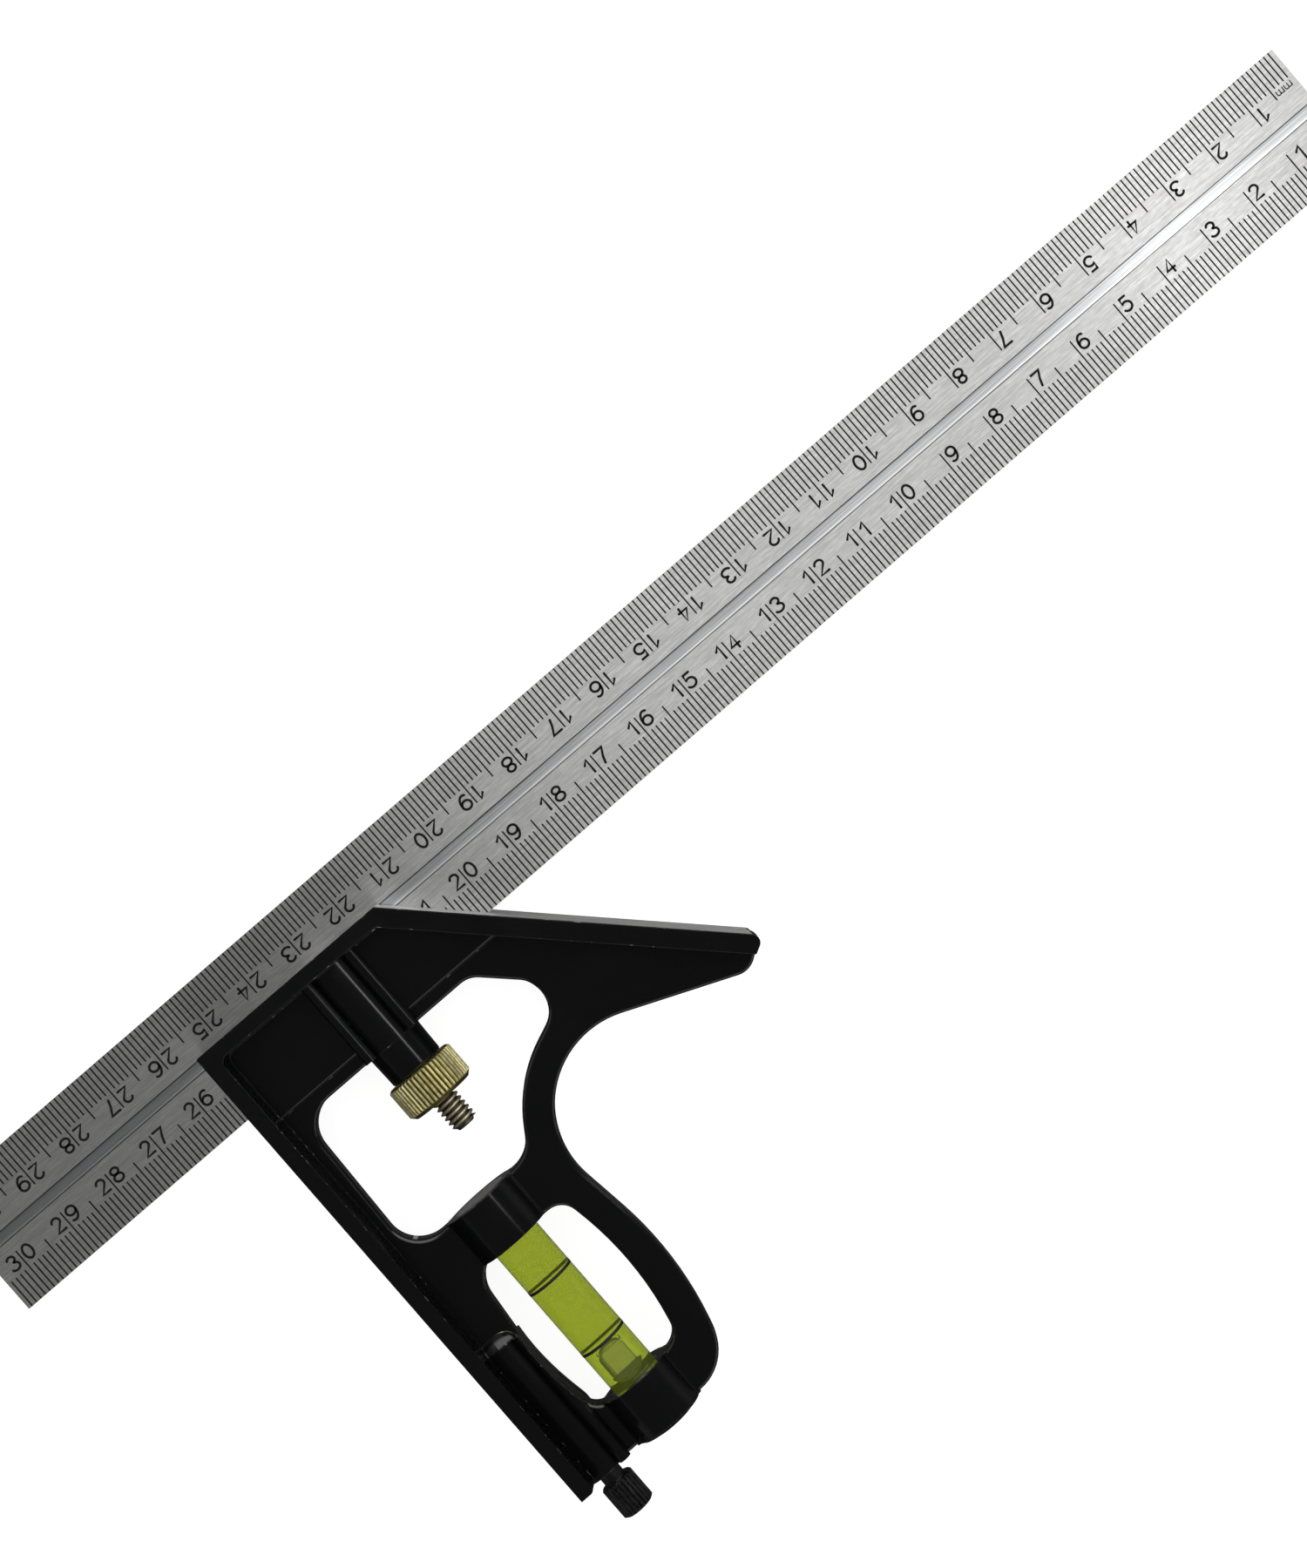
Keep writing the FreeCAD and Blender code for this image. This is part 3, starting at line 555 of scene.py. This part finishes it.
def ribbon(points, width):
    """A pen stroke of that width along points: its left and right outline, with rounded ends."""
    path = [np.array(p, float) for p in points]
    path = [path[0]] + [b for a, b in zip(path, path[1:]) if np.linalg.norm(b - a) > 0.02]
    closed = np.linalg.norm(path[0] - path[-1]) < 0.05
    widths = [1.0] * len(path)
    if not closed:
        for index, inner in ((0, 1), (-1, -2)):
            out = path[index] - path[inner]
            out /= np.linalg.norm(out)
            caps = [path[index] + out * width * reach for reach in (0.28, 0.42)]
            if index == 0:
                path, widths = [caps[1], caps[0]] + path, [0.45, 0.82] + widths
            else:
                path, widths = path + caps, widths + [0.82, 0.45]
    left, right = [], []
    for i, point in enumerate(path):
        before = path[i - 1] if i else (path[-2] if closed else None)
        after = path[i + 1] if i + 1 < len(path) else (path[1] if closed else None)
        legs = [] if before is None else [point - before]
        legs += [] if after is None else [after - point]
        sides = [leg / np.linalg.norm(leg) for leg in legs]
        normals = [np.array((-d[1], d[0])) for d in sides]
        normal = sum(normals) / len(normals)
        normal /= max(float(normal @ normal), 0.3)
        reach = normal * width / 2 * widths[i]
        left.append(point + reach)
        right.append(point - reach)
    return left, right


def glyph(strokes, wide, high, pen):
    """A figure's closed mesh, wide by high, drawn with a pen of that width; height is 0 or 1."""
    vertices, faces = [], []
    for stroke in strokes:
        points = [(pen / 2 + x * (wide - pen), pen / 2 + y * (high - pen)) for x, y in stroke]
        left, right = ribbon(points, pen)
        start, count = len(vertices), len(left)
        for level in (0, 1):
            for a, b in zip(left, right):
                vertices += [(*a, level), (*b, level)]
        top = start + 2 * count
        for i in range(count - 1):
            a, b, c, d = 2 * i, 2 * i + 1, 2 * i + 3, 2 * i + 2
            faces += [(top + a, top + b, top + c, top + d), (start + d, start + c, start + b, start + a)]
            faces += [(start + a, top + a, top + d, start + d), (start + c, top + c, top + b, start + b)]
        last = 2 * count - 2
        faces.append((start, start + 1, top + 1, top))
        faces.append((top + last, top + last + 1, start + last + 1, start + last))
    return vertices, faces


def character_spans(text, turned):
    """Where each character of a figure begins and ends, to the reader's right of its long line.
    A single figure stands on one side of the line, and two stand astride it. A 1 is narrower."""
    if text == "1":
        return [(-2.4, -1.05) if turned else (1.4, 2.8)]
    if len(text) == 1:
        return [(-2.6, -0.5) if turned else (0.65, 2.78)]
    first = (-2.1, -0.8) if text[0] == "1" else (-2.72, -0.62)
    second = (0.9, 2.2) if text[1] == "1" else (0.47, 2.67)
    return [first, second]


def figure_mesh(turned):
    """The centimetre figures of one edge in reading space: x to the reader's right from each long
    line, y up from the edge. turned is for the edge whose figures stand upside down."""
    shapes = stroke_shapes()
    vertices, faces = [], []

    def put(character, low, high, foot, height, origin, pen=DIGIT_PEN):
        points, shape_faces = glyph(shapes[character], high - low, height, pen)
        start = len(vertices)
        for x, y, level in points:
            vertices.append((origin + low + x, foot + y, INK_OVER if level else -INK_UNDER))
        faces.extend(tuple(start + i for i in f) for f in shape_faces)

    for number in range(1, 31):
        text = str(number)
        line = 10.0 * number * (1 if turned else -1)
        for character, span in zip(text, character_spans(text, turned)):
            put(character, *span, DIGIT_FOOT, DIGIT_HEIGHT, line)
    if turned:
        for low in (1.05, 2.85):
            put("m", low, low + UNIT_WIDTH, UNIT_FOOT, UNIT_HEIGHT, 0.0, UNIT_PEN)
    return vertices, faces


def place_scale(name, vertices, faces, turned, back, material):
    """Puts scale-space points on one edge of the blade, on its top or its back."""
    points = []
    for s, d, height in vertices:
        if turned:
            x, y = BLADE_RIGHT - s, BLADE_FAR - d
        else:
            x, y = BLADE_RIGHT + s, BLADE_NEAR + d
        z = BLADE_TOP + height
        if back:
            y, z = BLADE_NEAR + BLADE_FAR - y, BLADE_TOP + BLADE_BACK - z
        points.append((x * MM, y * MM, z * MM))
    obj = add_mesh(name, points, faces, material)
    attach(obj, "blade")


def add_scales():
    dark = ink()
    ticks, tick_faces = tick_mesh()
    for turned, edge in ((False, "near"), (True, "far")):
        figures, figure_faces = figure_mesh(turned)
        lines = ticks if turned else [(-s, d, h) for s, d, h in ticks]
        for back, side in ((False, "top"), (True, "back")):
            place_scale(f"lines_{edge}_{side}", lines, tick_faces, turned, back, dark)
            place_scale(f"figures_{edge}_{side}", figures, figure_faces, turned, back, dark)


def add_vial():
    """The spirit without the hollow that CAD leaves for the stored bubble, and the vial's two lines."""
    x, z = axis_of("vial_tube")
    low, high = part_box("vial_spirit")
    radius = (high.x - low.x) / 2 - 0.02 * MM
    middle = 0.0001 * MM
    outline = [(middle, low.y), (radius, low.y), (radius, high.y), (middle, high.y)]
    body = lathe("vial_dyed_spirit", outline, x, z, spirit(), 128)
    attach(body, "head")
    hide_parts("vial_spirit")
    line = matt_part("vial_line", (0.004, 0.005, 0.003), (0.002, 0.002, 0.0015), 0.7)
    tube_low, tube_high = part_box("vial_tube")
    outer = (tube_high.x - tube_low.x) / 2
    sunk, proud = outer - 0.02 * MM, outer + 0.03 * MM
    half = VIAL_LINE_WIDTH / 2 * MM
    for name, place in VIAL_LINES.items():
        low_end, high_end = place * MM - half, place * MM + half
        outline = [(sunk, low_end), (proud, low_end), (proud, high_end), (sunk, high_end)]
        ring = lathe(f"vial_line_{name}", outline, x, z, line)
        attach(ring, "head")


# ---------------------------------------------------------------- floor, light
def add_floor():
    """White to the camera and through the vial, and nearly black in what the gloss and metal mirror."""
    m = Material("floor", roughness=0.6)
    fibre = m.noise(1.5 * MM, 3)
    m.use(Normal=m.bump(fibre, 0.003 * MM))
    path = m.new("ShaderNodeLightPath")
    opaque = m.math("SUBTRACT", 1.0, path.outputs["Is Transmission Ray"])
    mirrored = m.math("MULTIPLY", path.outputs["Is Glossy Ray"], opaque)
    m.use(Base_Color=m.mix(mirrored, m.mix(fibre, gray(0.27), gray(0.31)), gray(0.02)))
    m.use(Emission_Color=m.mix(mirrored, gray(1.0), gray(0.02)), Emission_Strength=0.9)
    half = 4.0
    corners = [(-half, -half, 0), (half, -half, 0), (half, half, 0), (-half, half, 0)]
    floor = add_mesh("floor", corners, [(0, 1, 2, 3)], m.mat)
    floor.location.z = -0.02 * MM


def add_area(name, place, target, size, power):
    data = bpy.data.lights.new(name, "AREA")
    data.shape, data.size, data.size_y, data.energy = "RECTANGLE", size[0], size[1], power
    light = bpy.data.objects.new(name, data)
    light.location = place
    light.rotation_euler = (Vector(target) - Vector(place)).to_track_quat("-Z", "Y").to_euler()
    SCENE.collection.objects.link(light)


def add_world():
    """A studio round the part: pale for the floor and the room. The gloss, the metal and the vial
    meet a dark ceiling instead, with one large soft panel, two softer ends and a faint low wall."""
    panel_light, ends_light, wall_light, ceiling_light = 2.3, 0.72, 0.10, 0.065
    backdrop_light, room_light = 1.05, 0.85
    world = bpy.data.worlds.new("studio")
    SCENE.world = world
    world.use_nodes = True
    world.cycles.sampling_method = "NONE"
    tree = world.node_tree
    tree.nodes.clear()
    new = tree.nodes.new
    link = tree.links.new

    def math_node(operation, a, b):
        node = new("ShaderNodeMath")
        node.operation = operation
        for socket, value in zip(node.inputs, (a, b)):
            if isinstance(value, (int, float)):
                socket.default_value = value
            else:
                link(value, socket)
        return node.outputs[0]

    def step(value, low, high, to_low=0.0, to_high=1.0):
        node = new("ShaderNodeMapRange")
        node.interpolation_type = "SMOOTHSTEP"
        link(value, node.inputs["Value"])
        for key, number in (("From Min", low), ("From Max", high), ("To Min", to_low), ("To Max", to_high)):
            node.inputs[key].default_value = number
        return node.outputs[0]

    part = new("ShaderNodeSeparateXYZ")
    link(new("ShaderNodeTexCoord").outputs["Generated"], part.inputs[0])
    up = math_node("MAXIMUM", part.outputs["Z"], 0.02)
    across, along = math_node("DIVIDE", part.outputs["X"], up), math_node("DIVIDE", part.outputs["Y"], up)
    panel = math_node("MULTIPLY", step(across, -0.08, 0.01, 0.04, 1.0), step(along, 0.06, 0.2))
    panel = math_node("MULTIPLY", panel, step(along, 2.0, 3.0, 1.0, 0.0))
    panel = math_node("MULTIPLY", panel, panel_light)
    wall = step(part.outputs["Z"], 0.2, 0.5, wall_light, 0.0)
    sideways = math_node("ABSOLUTE", part.outputs["Y"], 0.0)
    below = step(part.outputs["Z"], 0.62, 0.8, 1.0, 0.0)
    ends = math_node("MULTIPLY", step(sideways, 0.38, 0.55, 0.0, ends_light), below)
    panel = math_node("MAXIMUM", panel, ends)
    studio = math_node("ADD", math_node("ADD", panel, wall), ceiling_light)

    path = new("ShaderNodeLightPath")
    mirrored = math_node("MAXIMUM", path.outputs["Is Glossy Ray"], path.outputs["Is Transmission Ray"])
    strength = new("ShaderNodeMix")
    strength.data_type = "FLOAT"
    link(mirrored, strength.inputs[0])
    backdrop = math_node("MULTIPLY", path.outputs["Is Camera Ray"], backdrop_light)
    link(math_node("MAXIMUM", backdrop, room_light), strength.inputs[2])
    link(studio, strength.inputs[3])
    ground = new("ShaderNodeBackground")
    ground.inputs["Color"].default_value = (1.0, 0.998, 0.99, 1)
    link(strength.outputs[0], ground.inputs["Strength"])
    out = new("ShaderNodeOutputWorld")
    link(ground.outputs[0], out.inputs["Surface"])


def add_lights():
    add_area("strip", place=(0.31, 0.04, 0.60), target=(-0.03, 0.04, 0.0), size=(0.22, 0.04), power=0.165)


add_camera()
SCENE.view_settings.view_transform = "Standard"
finish_nodes()
add_scales()
add_vial()
add_floor()
add_world()
add_lights()
